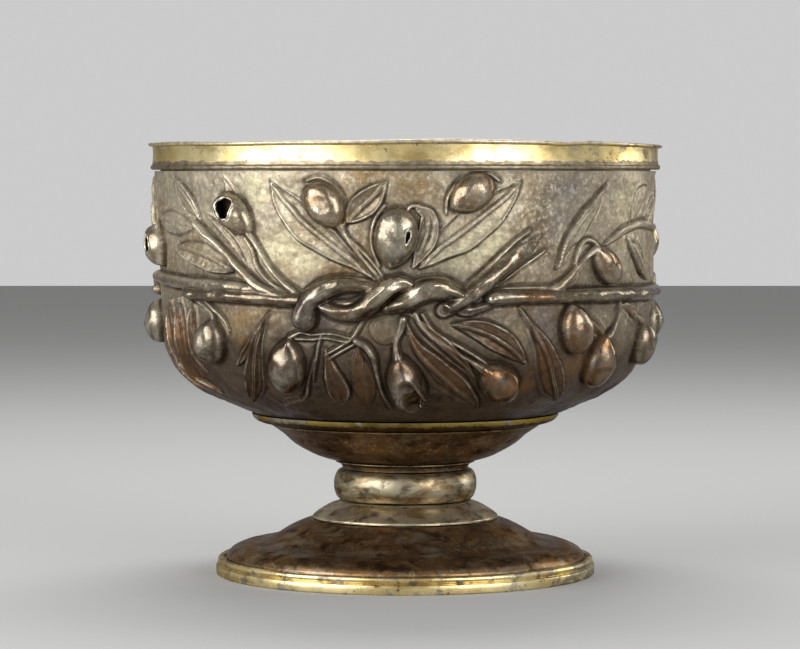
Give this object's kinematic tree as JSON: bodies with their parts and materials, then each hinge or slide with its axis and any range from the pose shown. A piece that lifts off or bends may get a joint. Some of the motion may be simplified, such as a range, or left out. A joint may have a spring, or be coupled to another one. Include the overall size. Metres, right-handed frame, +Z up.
{
  "type": "goblet",
  "caption": "Footed silver wine cup: deep round bowl with olive branches in high relief, gilded rim band, knop stem and domed foot with a gilded edge.",
  "frame": {"origin": "centre of the foot at the surface that the cup stands on", "axes": "+Z up along the cup's axis, -Y towards the side in the picture, +X to its right"},
  "size_m": [0.127, 0.1284, 0.1054],
  "materials": {
    "polished_silver": "smooth silver, lightly tarnished",
    "tarnished_relief": "chased silver, dark in the hollows and bright on the high points",
    "patinated_silver": "silver under a brown patina",
    "gilding": "worn gilding on silver"
  },
  "bodies": {
    "root": {"liner_bowl": "polished_silver", "rim_band": "gilding", "relief_casing": "tarnished_relief", "gilt_fillet": "gilding", "base_dish": "patinated_silver", "neck_collar": "patinated_silver", "stem_knop": "patinated_silver", "foot_cone": "patinated_silver", "foot_dome": "patinated_silver", "foot_rim": "gilding"}
  },
  "joints": []
}
